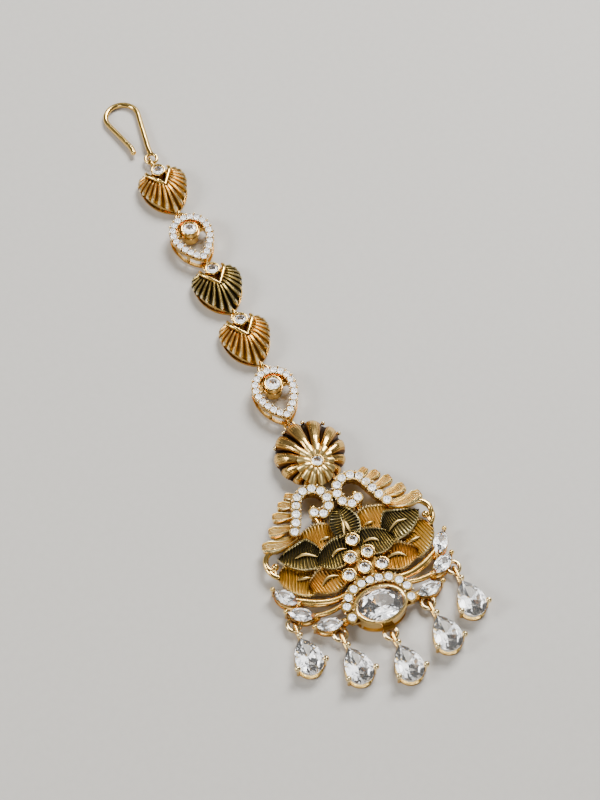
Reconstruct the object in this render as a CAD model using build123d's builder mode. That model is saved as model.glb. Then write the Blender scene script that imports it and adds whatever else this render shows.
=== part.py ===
from build123d import *
import math
import os

# A maang tikka lying on a table: a hooked chain of five links and a flower, a wide crested pendant,
# and five pear drops. Millimetres. +Y runs up the jewel towards the hook, +Z away from the table.
# Plan positions are written with X measured from the pendant's line of symmetry and Y from a point
# just under the middle of the oval stone. MIDDLE_X and MIDDLE_Y then move the frame's origin to the
# middle of the whole jewel.

# ---- driving sizes -------------------------------------------------------------------------------
HOOK_TOP = 106.6        # highest point of the hook wire
DROP_FOOT = -12.15      # lowest point of the middle drop
MIDDLE_X = 0.11
MIDDLE_Y = (HOOK_TOP + DROP_FOOT) / 2

RAIL = 0.42             # side of the square gallery wire that lies on the table
RING_LEVEL = 0.98       # height of the middle of every jump ring
RING_RADIUS, RING_WIRE = 0.78, 0.22        # lying ring at the head of a link
LOOP_RADIUS, LOOP_WIRE = 0.72, 0.20        # upright loop under the tip of a link
LOOP_FROM_RING = 0.70   # an upright loop's middle, measured from the middle of the ring it passes
DROP_RING_RADIUS, DROP_RING_WIRE = 0.975, 0.275
STONE_GAP = 0.05        # air between a stone and its metal
LOOP_PAST_RING = 0.02   # a long loop's far bend, measured past the middle of the ring it passes
POST = 0.26             # radius of the posts between a rail and the work above it


def level(x, y, z=0.0, turn=0.0):
    """A level plane over the plan point (x, y), turned to the left by turn degrees."""
    side = math.radians(turn)
    return Plane((x - MIDDLE_X, y - MIDDLE_Y, z), x_dir=(math.cos(side), math.sin(side), 0))


def raised(place, x, y, z, turn=0.0):
    """The level plane at (x, y, z) of a piece that lies at place, turned by turn degrees more."""
    side = math.radians(turn)
    along = place.x_dir * math.cos(side) + place.y_dir * math.sin(side)
    spot = place.origin + place.x_dir * x + place.y_dir * y + Vector(0, 0, z)
    return Plane(spot, x_dir=along)


# ---- wires, rings and posts: each adds to the part that is being built ---------------------------
def lying_ring(place, radius=RING_RADIUS, wire=RING_WIRE):
    with Locations(place):
        Torus(radius, wire)


def upright_ring(place, radius=LOOP_RADIUS, wire=LOOP_WIRE):
    with Locations(place):
        Torus(radius, wire, rotation=(0, 90, 0))


def wire_along(route, radius):
    """A round wire along a route of lines and arcs."""
    with BuildSketch(Plane(route @ 0, z_dir=route % 0)) as section:
        Circle(radius)
    sweep(section.sketch, path=route)


def long_loop(place, reach, rise=0.6, wire=LOOP_WIRE):
    """An upright hairpin of wire from place along its Y; its two ends are buried in the head's post."""
    with BuildLine(Plane(place.origin, x_dir=place.y_dir, z_dir=place.x_dir)) as route:
        top = Line((0, rise), (reach - rise, rise))
        bend = ThreePointArc(top @ 1, (reach, 0), (reach - rise, -rise))
        Line(bend @ 1, (0, -rise))
    wire_along(route.line, wire)


def posts(places, foot, top, radius=POST):
    """Round posts from the height foot up to the height top."""
    with Locations(*[place.offset(foot) for place in places]):
        Cylinder(radius, top - foot, align=(Align.CENTER, Align.CENTER, Align.MIN))


def block(place, width, length, foot, top):
    with Locations(place.offset(foot)):
        Box(width, length, top - foot, align=(Align.CENTER, Align.CENTER, Align.MIN))


def stone_holes(places, top, stone):
    """Opens cups for round stones: straight above the girdle, narrower below it."""
    with Locations(*[place.offset(top) for place in places]):
        ledge = top - stone["girdle"] + 0.3 * stone["depth"]
        CounterBoreHole(0.85 * stone["half_width"], stone["half_width"] + STONE_GAP, ledge, depth=top)


# ---- cut stones ----------------------------------------------------------------------------------
def pointed_arc(half_width, half_length):
    """Radius of each side arc of a pear or marquise, and the normal's angle where it meets the tip."""
    radius = (half_width**2 + half_length**2) / (2 * half_width)
    return radius, math.degrees(math.asin(half_length / radius))


def rim_point(shape, half_width, half_length, angle):
    """The girdle point whose outward normal is at angle degrees; tips are towards +Y."""
    turn = math.radians(angle)
    east, north = math.cos(turn), math.sin(turn)
    if shape == "round" or (shape == "pear" and north <= 0):
        return Vector(half_width * east, half_width * north)
    if shape == "oval":
        reach = math.hypot(half_width * east, half_length * north)
        return Vector(half_width**2 * east / reach, half_length**2 * north / reach)
    radius, tip_angle = pointed_arc(half_width, half_length)
    if abs(north) > math.sin(math.radians(tip_angle)):
        return Vector(0, math.copysign(half_length, north))
    return Vector(radius * east - math.copysign(radius - half_width, east), radius * north)


# One row for each ring of facets: how many, the turn of the first in steps of a sixteenth of the
# circle, and where the facet starts and ends as (share of the girdle's size, share of the height).
CROWN = [
    dict(count=8, start=0, outer=(1.00, 0.00), inner=(0.62, 1.00)),
    dict(count=8, start=1, outer=(0.80, 0.71), inner=(0.57, 1.00)),
    dict(count=16, start=0.5, outer=(1.00, 0.00), inner=(0.80, 0.58)),
]
PAVILION = [
    dict(count=8, start=0, outer=(1.00, 0.00), inner=(0.02, 1.00)),
    dict(count=16, start=0.5, outer=(1.00, 0.00), inner=(0.20, 0.84)),
]
GIRDLE = 0.05           # half the thickness of a stone's girdle


def cut_stone(size, swell=0.0):
    """A faceted stone with its girdle at the level z = 0. swell grows it on all sides, for a seat."""
    shape, crown, depth = size["shape"], size["crown"], size["depth"]
    half_width, half_length = size["half_width"], size["half_length"]
    middle = Vector(0, (half_length - half_width) / 2 if shape == "pear" else 0)
    with BuildPart() as stone:
        with BuildSketch(Plane.XY.offset(-depth - swell)):
            if shape in ("round", "oval"):
                Ellipse(half_width + swell, half_length + swell)
            else:
                with BuildLine():
                    side = rim_point(shape, half_width, half_length, 30)
                    ThreePointArc((half_width, 0), (side.X, side.Y), (0, half_length))
                    ThreePointArc((-half_width, 0), (-side.X, side.Y), (0, half_length))
                    if shape == "pear":
                        ThreePointArc((-half_width, 0), (0, -half_width), (half_width, 0))
                    else:
                        ThreePointArc((half_width, 0), (side.X, -side.Y), (0, -half_length))
                        ThreePointArc((-half_width, 0), (-side.X, -side.Y), (0, -half_length))
                make_face()
                if swell:
                    offset(amount=swell, kind=Kind.INTERSECTION)
        extrude(amount=depth + crown + 2 * swell)
        for rings, height, sign in ((CROWN, crown, 1), (PAVILION, depth, -1)):
            for ring in rings[: len(rings) if size["full_cut"] and not swell else len(rings) - 1]:
                for number in range(ring["count"]):
                    angle = 90 + 22.5 * ring["start"] + 360 * number / ring["count"]
                    turn = math.radians(angle)
                    rim = rim_point(shape, half_width, half_length, angle) - middle
                    (wide, low), (narrow, high) = ring["outer"], ring["inner"]
                    rise = height - GIRDLE
                    first = middle + rim * wide + Vector(0, 0, sign * (GIRDLE + low * rise))
                    second = middle + rim * narrow + Vector(0, 0, sign * (GIRDLE + high * rise))
                    out = Vector(-math.sin(turn), math.cos(turn)).cross(second - first) * sign
                    out = out.normalized()
                    split(bisect_by=Plane(first + out * swell, z_dir=out), keep=Keep.BOTTOM)
    return stone.part


def save(piece, name):
    piece.label = name
    export_step(piece, f"parts/{name}.step")


def save_stones(size, name, places):
    """One stone for each place, or a single one where the name says so."""
    stone = cut_stone(size)
    for number, place in enumerate(places, start=1):
        ending = f"_{number}" if len(places) > 1 else ""
        save(stone.moved(place.offset(size["girdle"]).location), name + ending)


os.makedirs("parts", exist_ok=True)

# ---- hook ----------------------------------------------------------------------------------------
# Round wire bent to an open loop that is pushed into the hair. Its foot is soldered to a lying ring
# that is lifted off the table by the loop through it, so the wire slopes down to its far bend.
HOOK_RING = (-4.4, 92.6)
HOOK_WIRE = 0.46
HOOK_BEND = 2.85
HOOK_LEAN = 84           # direction of the long leg, from +X
FOOT_TURN = 12           # the leg's foot curves this much before it meets the ring
FOOT_CURVE = 8.0
HOOK_SLOPE = math.degrees(math.asin((RING_LEVEL - HOOK_WIRE) / (HOOK_TOP - HOOK_RING[1] - HOOK_WIRE)))

ring_place = level(*HOOK_RING, RING_LEVEL)
wire_plane = ring_place.rotated((-HOOK_SLOPE, 0, 0))
lean = math.radians(HOOK_LEAN)
bend_height = HOOK_TOP - HOOK_RING[1] - HOOK_WIRE - HOOK_BEND * (1 + math.cos(lean))
foot_rise = 2 * FOOT_CURVE * math.sin(math.radians(FOOT_TURN / 2))
leg_length = (bend_height - 1.0 - foot_rise) / math.sin(lean)
with BuildPart() as hook:
    lying_ring(ring_place, DROP_RING_RADIUS, DROP_RING_WIRE)
    with BuildLine(wire_plane) as hook_route:
        foot = RadiusArc((0.30, 1.0), (0.30, 1.0 + foot_rise), FOOT_CURVE)
        leg = PolarLine(foot @ 1, leg_length, HOOK_LEAN)
        bend = JernArc(leg @ 1, leg % 1, HOOK_BEND, 204)
        back = PolarLine(bend @ 1, 6.1, direction=bend % 1)
        JernArc(back @ 1, back % 1, 3.6, -26)
    wire_along(hook_route.line, HOOK_WIRE)
    with Locations(hook_route.line @ 1):
        Sphere(HOOK_WIRE)
save(hook.part, "hook")

# ---- the chain's order ---------------------------------------------------------------------------
# Each link has a lying ring at its head and, at its tip, an upright loop through the next link's
# ring. A row gives the place of the link's cup and its turn to the left.
SHELL_RING_Y = 1.9       # from a shell's cup to its ring
TEARDROP_RING_Y = 4.15   # from a teardrop's cup to its ring
CHAIN = [
    dict(name="shell_link_1", cup=(-4.5, 88.3), turn=3.3, ring_y=SHELL_RING_Y),
    dict(name="teardrop_link_1", cup=(-3.6, 74.95), turn=3.5, ring_y=TEARDROP_RING_Y),
    dict(name="shell_link_2", cup=(-2.8, 66.0), turn=2.9, ring_y=SHELL_RING_Y),
    dict(name="shell_link_3", cup=(-1.95, 55.1), turn=1.1, ring_y=SHELL_RING_Y),
    dict(name="teardrop_link_2", cup=(-1.35, 41.9), turn=1.0, ring_y=TEARDROP_RING_Y),
]
FLOWER_RING = (-1.25, 34.8)


def chain_seat(row):
    return level(*row["cup"], 0, row["turn"])


def ring_below(index):
    """The middle of the ring that a link's tip loop passes, turned as the link is."""
    if index + 1 == len(CHAIN):
        spot = level(*FLOWER_RING, RING_LEVEL).origin
    else:
        below = CHAIN[index + 1]
        spot = raised(chain_seat(below), 0, below["ring_y"], RING_LEVEL).origin
    return Plane(spot, x_dir=chain_seat(CHAIN[index]).x_dir)


# ---- shell links ---------------------------------------------------------------------------------
# A domed, fan-shaped casting that ends in a point, open at the top in a V collar where a small cup
# stands.
SHELL_DOME = 8.0
SHELL_TOP = 2.5
COLLAR_TOP = 2.9
SHELL_WALL = 0.6
SHELL_CROWN_Y = -3.2     # the dome's highest point, measured from the cup
CUP_TOP = 3.2
CUP_RADIUS = 1.22
SHELL_STONE = dict(
    shape="round", half_width=0.92, half_length=0.92, crown=0.30, depth=0.78, girdle=2.98, full_cut=False
)


def shell_outline(inset=0.0):
    """The edge of the fan, moved in by about the inset."""
    with BuildLine() as edge:
        flank = ThreePointArc((0, -7.9 + inset), (2.8 - inset, -5.75 + inset / 2), (3.95 - inset, -2.3))
        shoulder = ThreePointArc(flank @ 1, (3.98 - inset, -1.0), (3.5 - inset, 0.1 - inset))
        Polyline(shoulder @ 1, (1.9, 0.95 - inset), (0, 1.0 - inset))
        mirror(about=Plane.YZ)
    return edge.edges()


for index, row in enumerate(CHAIN):
    if not row["name"].startswith("shell"):
        continue
    seat = chain_seat(row)
    with BuildPart() as shell_link:
        with BuildSketch(seat.offset(0.5)):
            make_face(shell_outline(inset=0.25))
        extrude(amount=SHELL_TOP)
        with Locations(raised(seat, 0, SHELL_CROWN_Y, SHELL_TOP - SHELL_DOME)):
            Sphere(SHELL_DOME, mode=Mode.INTERSECT)
            Sphere(SHELL_DOME - SHELL_WALL, mode=Mode.SUBTRACT)
        with BuildSketch(seat):
            with BuildLine():
                Polyline((0, -2.8), (1.7, -0.6), (1.7, 0.6), (-1.7, 0.6), (-1.7, -0.6), close=True)
            make_face()
        extrude(amount=CUP_TOP, mode=Mode.SUBTRACT)
        with BuildSketch(seat.offset(1.0)):
            with BuildLine():
                Polyline((-1.95, -0.2), (0, -3.05), (1.95, -0.2))
            trace(line_width=0.34)
        extrude(amount=COLLAR_TOP - 1.0)
        with BuildSketch(seat):
            make_face(shell_outline(inset=0.1))
            make_face(shell_outline(inset=0.1 + RAIL), mode=Mode.SUBTRACT)
        extrude(amount=RAIL)
        block(raised(seat, 0, 0.2, 0), 5.0, 0.8, 0.9, 1.7)
        posts([seat], 0.5, CUP_TOP, CUP_RADIUS)
        block(raised(seat, 0, 1.1, 0), 0.8, 0.7, 0.1, 1.9)
        block(raised(seat, 0, -7.2, 0), 0.8, 0.8, 0.1, 1.3)
        corners = [raised(seat, side * x, y, 0) for side in (-1, 1) for x, y in ((3.35, -2.2), (2.0, -5.9))]
        posts(corners, 0.1, 1.3)
        if index == 0:
            block(raised(seat, 0, 1.75, 0), 0.7, 0.6, 0.1, 1.9)
            head = raised(seat, 0, 1.75, RING_LEVEL)
            reach = (level(*HOOK_RING, RING_LEVEL).origin - head.origin).length + LOOP_PAST_RING
            long_loop(head, reach)
        else:
            lying_ring(raised(seat, 0, row["ring_y"], RING_LEVEL))
        upright_ring(raised(ring_below(index), 0, LOOP_FROM_RING, 0))
        stone_holes([seat], CUP_TOP, SHELL_STONE)
    save(shell_link.part, row["name"])
save_stones(SHELL_STONE, "shell_stone", [chain_seat(row) for row in CHAIN if row["ring_y"] == SHELL_RING_Y])

# ---- teardrop links ------------------------------------------------------------------------------
# A flat paved teardrop with an open middle. A cup for a round stone stands in its upper half, carried
# by a half-moon gallery; a gallery rail lies under the teardrop.
BAND_EDGE, BAND = 0.15, 1.2      # the band lies this far inside the outline, and is this wide
BAND_LEVEL, BAND_TOP = 2.0, 2.5
TEARDROP_CUP_TOP = 3.1
TEARDROP_STONE = dict(
    shape="round", half_width=1.12, half_length=1.12, crown=0.36, depth=0.95, girdle=2.88, full_cut=True
)


def teardrop_outline():
    with BuildLine() as edge:
        crown = CenterArc((0, -0.35), 3.72, 0, 90)
        flank = ThreePointArc(crown @ 0, (2.87, -3.9), (0.62, -6.42))
        ThreePointArc(flank @ 1, (0.34, -6.7), (0, -6.8))
        mirror(about=Plane.YZ)
    return edge.edges()


for index, row in enumerate(CHAIN):
    if not row["name"].startswith("teardrop"):
        continue
    seat = chain_seat(row)
    with BuildPart() as teardrop_link:
        with BuildSketch(seat.offset(BAND_LEVEL)):
            make_face(teardrop_outline())
            offset(amount=-BAND_EDGE, mode=Mode.REPLACE)
            offset(amount=-BAND, mode=Mode.SUBTRACT)
        extrude(amount=BAND_TOP - BAND_LEVEL)
        with BuildSketch(seat.offset(1.4)):
            make_face(teardrop_outline())
            offset(amount=-BAND, mode=Mode.REPLACE)
            with Locations((0, -4.3)):
                Rectangle(9, 8, mode=Mode.SUBTRACT)
        extrude(amount=BAND_LEVEL + 0.1 - 1.4)
        with BuildSketch(seat):
            make_face(teardrop_outline())
            offset(amount=-0.2, mode=Mode.REPLACE)
            offset(amount=-RAIL, mode=Mode.SUBTRACT)
        extrude(amount=RAIL)
        posts([seat], 0.4, TEARDROP_CUP_TOP, 1.46)
        corners = [raised(seat, side * x, y, 0) for side in (-1, 1) for x, y in ((3.1, -0.4), (2.05, -4.2))]
        posts(corners, 0.1, BAND_LEVEL + 0.1)
        block(raised(seat, 0, 2.95, 0), 0.8, 0.7, 0.1, BAND_LEVEL + 0.1)
        block(raised(seat, 0, -5.5, 0), 0.8, 0.9, 0.1, BAND_LEVEL + 0.1)
        lying_ring(raised(seat, 0, row["ring_y"], RING_LEVEL))
        upright_ring(raised(ring_below(index), 0, LOOP_FROM_RING, 0))
        stone_holes([seat], TEARDROP_CUP_TOP, TEARDROP_STONE)
    save(teardrop_link.part, row["name"])
teardrop_seats = [chain_seat(row) for row in CHAIN if row["ring_y"] == TEARDROP_RING_Y]
save_stones(TEARDROP_STONE, "teardrop_stone", teardrop_seats)

# ---- flower link ---------------------------------------------------------------------------------
# A hollow domed flower whose hub leans towards the pendant, on a round gallery rail.
FLOWER = (-0.2, 28.8)
FLOWER_RAIL_RADIUS = 5.0
FLOWER_HUB_Y = -3.1
FLOWER_WALL = 0.7
#  height of the section, its radius, and how far its middle leans
DOME = [
    dict(z=1.2, radius=4.80, lean=0.0),
    dict(z=2.1, radius=4.20, lean=-0.4),
    dict(z=2.9, radius=2.90, lean=-1.5),
    dict(z=3.5, radius=1.40, lean=-2.9),
]
HUB_TOP = 4.6
HUB_STONE = dict(
    shape="round", half_width=0.85, half_length=0.85, crown=0.28, depth=0.72, girdle=4.40, full_cut=False
)
EYE_X = 1.6              # the two joining rings stand this far either side of the middle
JOIN_Y = 23.0
EYE_RADIUS, EYE_WIRE = 0.55, 0.15

flower_place = level(*FLOWER)
with BuildPart() as flower_link:
    for shrink, lower, mode in ((0, 0, Mode.ADD), (FLOWER_WALL, FLOWER_WALL, Mode.SUBTRACT)):
        for row in DOME:
            with BuildSketch(raised(flower_place, 0, row["lean"], row["z"] - lower)):
                Circle(row["radius"] - shrink)
        loft(mode=mode)
    with BuildSketch(flower_place):
        Circle(FLOWER_RAIL_RADIUS)
        Circle(FLOWER_RAIL_RADIUS - RAIL, mode=Mode.SUBTRACT)
    extrude(amount=RAIL)
    reach = FLOWER_RAIL_RADIUS - POST
    turns = [math.radians(60 * step) for step in range(6)]
    posts([raised(flower_place, reach * math.cos(t), reach * math.sin(t), 0) for t in turns], 0.1, 1.6)
    posts([raised(flower_place, 0, FLOWER_HUB_Y, 0)], 2.6, HUB_TOP, 1.05)
    block(level(FLOWER_RING[0] + 0.12, FLOWER_RING[1] - 1.1, 0, 9), 0.8, 0.8, 0.1, 1.7)
    lying_ring(level(*FLOWER_RING, RING_LEVEL))
    eyes = [level(side * EYE_X, JOIN_Y + 0.25 + EYE_RADIUS) for side in (-1, 1)]
    for eye in eyes:
        lying_ring(eye.offset(RING_LEVEL), EYE_RADIUS, EYE_WIRE)
    posts([raised(eye, 0, EYE_RADIUS, 0) for eye in eyes], 0.1, 1.8, 0.2)
    stone_holes([raised(flower_place, 0, FLOWER_HUB_Y, 0)], HUB_TOP, HUB_STONE)
save(flower_link.part, "flower_link")
save_stones(HUB_STONE, "flower_stone", [raised(flower_place, 0, FLOWER_HUB_Y, 0)])

for side, name in ((-1, "link_ring_left"), (1, "link_ring_right")):
    with BuildPart() as link_ring:
        upright_ring(level(side * EYE_X, JOIN_Y, RING_LEVEL), 0.70, 0.18)
    save(link_ring.part, name)

# ---- stones of the pendant -----------------------------------------------------------------------
OVAL_MIDDLE = (0.0, 0.5)
OVAL = dict(shape="oval", half_width=3.5, half_length=2.5, crown=0.85, depth=2.05, girdle=2.55, full_cut=True)
MARQUISE = dict(
    shape="marquise", half_width=1.08, half_length=2.02, crown=0.42, depth=0.92, girdle=2.0, full_cut=True
)
# the marquise stones of the right half: middle, and the turn of the long axis from +X
MARQUISES = [
    dict(x=8.05, y=0.60, turn=9),
    dict(x=11.45, y=3.65, turn=30),
    dict(x=12.60, y=7.05, turn=52),
]
CLUSTER = [(0, 11.7), (-1.42, 9.05), (1.42, 9.05), (-2.68, 6.45), (0, 6.8), (2.68, 6.45)]
CLUSTER_CUP = 1.1
CLUSTER_TOP = 3.5
CLUSTER_STONE = dict(
    shape="round", half_width=0.78, half_length=0.78, crown=0.25, depth=0.66, girdle=3.32, full_cut=False
)


def marquise_place(row, side, z=0.0):
    """A marquise's plane: its +Y is along the stone, towards the outer end."""
    turn = row["turn"] - 90 if side > 0 else 90 - row["turn"]
    return level(side * row["x"], row["y"], z, turn)


oval_place = level(*OVAL_MIDDLE)
cluster_places = [level(x, y) for x, y in CLUSTER]
marquise_seats = [marquise_place(row, side) for side in (-1, 1) for row in MARQUISES]
marquise_cutter = cut_stone(MARQUISE, swell=STONE_GAP)
marquise_cutters = [
    marquise_cutter.moved(seat.offset(MARQUISE["girdle"]).location) for seat in marquise_seats
]
save_stones(OVAL, "oval_stone", [oval_place])
save_stones(MARQUISE, "marquise_stone", marquise_seats)
save_stones(CLUSTER_STONE, "cluster_stone", cluster_places)

# ---- pendant metal -------------------------------------------------------------------------------
# One soldered piece. Leaves and feathers are rows of the right half: where each starts and ends, how
# wide it is to either side of that line, and the height of its underside.
LEAVES = [
    dict(root=(0.5, 10.8), tip=(6.1, 10.75), half=1.55, foot=2.15),
    dict(root=(5.7, 11.7), tip=(10.9, 13.1), half=2.10, foot=1.85),
    dict(root=(2.4, 14.35), tip=(6.0, 15.7), half=1.30, foot=1.35),
    dict(root=(7.5, 8.9), tip=(12.4, 10.7), half=1.40, foot=1.25),
    dict(root=(3.6, 7.6), tip=(8.6, 7.2), half=1.65, foot=1.55),
]
TOP_LEAF = dict(root=(0, 12.2), tip=(0, 17.5), half=2.15, foot=2.35)
LEAF_THICK = 0.45
# bars under the leaves: each is soldered to the two leaves that it passes
LEAF_BARS = [
    dict(start=(4.7, 14.2), end=(7.8, 12.6), foot=1.55, top=2.02),
    dict(start=(4.2, 11.0), end=(7.2, 12.1), foot=1.95, top=2.34),
    dict(start=(9.4, 10.1), end=(9.4, 12.2), foot=1.45, top=2.02),
    dict(start=(6.0, 7.4), end=(9.8, 9.3), foot=1.40, top=1.80),
    dict(start=(4.6, 8.25), end=(4.6, 10.2), foot=1.80, top=2.32),
]
LEAF_LEGS = [(5.4, 13.55), (9.4, 10.2), (6.6, 7.7)]
FEATHERS = [
    dict(root=(4.9, 21.4), tip=(6.3, 23.1), half=0.55, foot=1.7),
    dict(root=(5.6, 20.2), tip=(8.0, 21.7), half=0.65, foot=1.7),
    dict(root=(6.2, 18.8), tip=(9.5, 19.9), half=0.75, foot=1.7),
    dict(root=(6.8, 17.2), tip=(11.0, 17.9), half=0.85, foot=1.7),
    dict(root=(6.9, 15.3), tip=(12.9, 15.8), half=0.95, foot=1.65),
]
FEATHER_THICK = 0.45
NECK_WIDTH = 1.15
NECK_FOOT, NECK_TOP = 2.0, 2.5
NECK_FEET = [(7.7, 16.4), (6.3, 19.05), (4.6, 22.1), (0.92, 20.0), (2.3, 17.65)]
HALO = dict(half_width=5.3, half_length=4.55, foot=1.7, top=2.3, end=-1.3)
BEZEL = dict(half_width=4.15, half_length=3.1, foot=1.4, top=3.1)
HOOKLET_LEVEL, SCROLL_LEVEL = 1.75, 1.55
DROP_RINGS = [(-12.95, 2.85), (-7.1, -1.05), (0, -3.6), (7.1, -1.05), (12.95, 2.85)]


def blade(row, side, thick):
    """A pointed leaf of two arcs between its root and its tip."""
    root, tip = Vector(*row["root"]), Vector(*row["tip"])
    length = (tip - root).length
    turn = math.degrees(math.atan2(tip.Y - root.Y, side * (tip.X - root.X)))
    with BuildSketch(level(side * root.X, root.Y, row["foot"], turn)) as leaf:
        with BuildLine():
            for wing in (-1, 1):
                ThreePointArc((0, 0), (length / 2, wing * row["half"]), (length, 0))
        make_face()
    extrude(leaf.sketch, amount=thick)


def neck_line(side):
    """The line of the crest's neck: up from the shoulder, over the arch and round to the beak."""
    with BuildLine() as line:
        shoulder = ThreePointArc((side * 7.95, 16.0), (side * 6.45, 18.75), (side * 5.45, 21.15))
        arch = ThreePointArc(shoulder @ 1, (side * 3.2, 22.55), (side * 1.3, 21.3))
        throat = ThreePointArc(arch @ 1, (side * 0.87, 19.9), (side * 1.3, 18.5))
        ThreePointArc(throat @ 1, (side * 2.45, 17.6), (side * 3.7, 18.6))
    return line.edges()


def strip(points, width, foot, top):
    """A flat strip of metal along an arc or a line through the given points."""
    with BuildSketch(level(0, 0, foot)) as band:
        with BuildLine():
            if len(points) == 3:
                ThreePointArc(*points)
            else:
                Line(*points)
        trace(line_width=width)
    extrude(band.sketch, amount=top - foot)


def arc_wire(points, height, radius):
    """A round wire along the arc through three plan points, with rounded ends."""
    with BuildLine(level(0, 0, height)) as route:
        ThreePointArc(*points)
    wire_along(route.line, radius)
    with Locations(route.line @ 0, route.line @ 1):
        Sphere(radius)


with BuildPart() as pendant_frame:
    # oval bezel on its rail, with the paved halo round its upper side
    with BuildSketch(oval_place.offset(BEZEL["foot"])):
        Ellipse(BEZEL["half_width"], BEZEL["half_length"])
    extrude(amount=BEZEL["top"] - BEZEL["foot"])
    with BuildSketch(oval_place.offset(HALO["foot"])):
        Ellipse(HALO["half_width"], HALO["half_length"])
        with Locations((0, HALO["end"] - 5)):
            Rectangle(12, 10, mode=Mode.SUBTRACT)
    extrude(amount=HALO["top"] - HALO["foot"])
    with BuildSketch(oval_place.offset(OVAL["girdle"] - 0.3 * OVAL["depth"])):
        Ellipse(OVAL["half_width"] + STONE_GAP, OVAL["half_length"] + STONE_GAP)
    extrude(amount=3, mode=Mode.SUBTRACT)
    with BuildSketch(oval_place.offset(1.0)):
        Ellipse(OVAL["half_width"] * 0.8, OVAL["half_length"] * 0.8)
    extrude(amount=2, mode=Mode.SUBTRACT)
    with BuildSketch(oval_place):
        Ellipse(BEZEL["half_width"], BEZEL["half_length"])
        Ellipse(BEZEL["half_width"] - RAIL, BEZEL["half_length"] - RAIL, mode=Mode.SUBTRACT)
    extrude(amount=RAIL)
    turns = [math.radians(30 + 60 * step) for step in range(6)]
    posts([raised(oval_place, 3.9 * math.cos(t), 2.85 * math.sin(t), 0) for t in turns], 0.1, 1.6)
    block(level(0, -2.8), 1.9, 0.8, 0.75, 1.55)

    # six-cup cluster on a filled triangle, stepped up from the halo
    with BuildSketch(level(0, 0, 1.5)):
        with BuildLine():
            Polyline((0, 12.6), (-3.5, 6.0), (-2.4, 4.9), (2.4, 4.9), (3.5, 6.0), close=True)
        make_face()
    extrude(amount=1.1)
    posts(cluster_places, 1.5, CLUSTER_TOP, CLUSTER_CUP)

    # leaf plate
    blade(TOP_LEAF, 1, LEAF_THICK)
    for side in (-1, 1):
        for row in LEAVES:
            blade(row, side, LEAF_THICK)
    for side in (-1, 1):
        for row in LEAF_BARS:
            (x, y), (far_x, far_y) = row["start"], row["end"]
            strip([(side * x, y), (side * far_x, far_y)], 0.6, row["foot"], row["top"])
        posts([level(side * x, y) for x, y in LEAF_LEGS], 0, 1.7, 0.4)
    posts([level(0, 15.2)], 0, 2.5, 0.4)

    # crest: two paved necks on gallery rails, five feathers and a curled hook each
    for side in (-1, 1):
        with BuildSketch(level(0, 0, NECK_FOOT)):
            trace(neck_line(side), line_width=NECK_WIDTH)
            with Locations((side * 3.7, 18.55)):
                Circle(0.65)
        extrude(amount=NECK_TOP - NECK_FOOT)
        with BuildSketch(level(0, 0, 0)):
            trace(neck_line(side), line_width=RAIL)
        extrude(amount=RAIL)
        posts([level(side * x, y) for x, y in NECK_FEET], 0.1, NECK_FOOT + 0.1)
        for row in FEATHERS:
            blade(row, side, FEATHER_THICK)
        strip([(side * 7.5, 16.2), (side * 6.5, 14.6)], 0.5, 1.6, 2.3)
        strip([(side * 3.3, 17.9), (side * 3.2, 15.2)], 0.6, 1.5, 2.3)
        arc_wire([(side * 11.4, 15.2), (side * 13.45, 13.2), (side * 12.5, 10.6)], HOOKLET_LEVEL, 0.4)
        arc_wire([(side * 12.35, 12.3), (side * 12.6, 11.6), (side * 12.7, 10.9)], HOOKLET_LEVEL, 0.3)
        posts([level(side * EYE_X, JOIN_Y - 0.25 - 2 * EYE_RADIUS)], 0.1, NECK_FOOT + 0.1, 0.2)
        lying_ring(level(side * EYE_X, JOIN_Y - 0.25 - EYE_RADIUS, RING_LEVEL), EYE_RADIUS, EYE_WIRE)
    strip([(-1.0, 20.9), (1.0, 20.9)], 0.5, 2.0, 2.4)

    # scroll arcs and marquise settings
    for side in (-1, 1):
        for shift in (-0.26, 0.26):
            ends = [(side * 2.7, 4.85 + shift), (side * 7.2, 4.2 + shift), (side * 11.2, 6.1 + shift)]
            arc_wire(ends, SCROLL_LEVEL, 0.28)
        arc_wire([(side * 4.0, 3.4), (side * 7.2, 2.5), (side * 10.0, 2.95)], SCROLL_LEVEL, 0.30)
        strip([(side * 5.0, 0.5), (side * 6.3, 0.4)], 0.8, 1.2, 1.9)
    for seat in marquise_seats:
        for foot, top in ((0, RAIL), (1.15, 1.6)):
            with BuildSketch(seat.offset(foot)):
                with BuildLine():
                    for wing in (-1, 1):
                        ThreePointArc((0, -2.3), (wing * 1.15, 0), (0, 2.3))
                make_face()
                offset(amount=-RAIL, kind=Kind.INTERSECTION, mode=Mode.SUBTRACT)
            extrude(amount=top - foot)
        posts([raised(seat, 0, end * 2.25, 0) for end in (-1, 1)], 0.1, 2.2, 0.28)
        with Locations(*[raised(seat, 0, end * 2.3, 2.3) for end in (-1, 1)]):
            Sphere(0.34)
    for x, y in DROP_RINGS:
        lying_ring(level(x, y, RING_LEVEL), DROP_RING_RADIUS, DROP_RING_WIRE)
    for cutter in marquise_cutters:
        add(cutter, mode=Mode.SUBTRACT)
    stone_holes(cluster_places, CLUSTER_TOP, CLUSTER_STONE)
save(pendant_frame.part, "pendant_frame")

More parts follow.
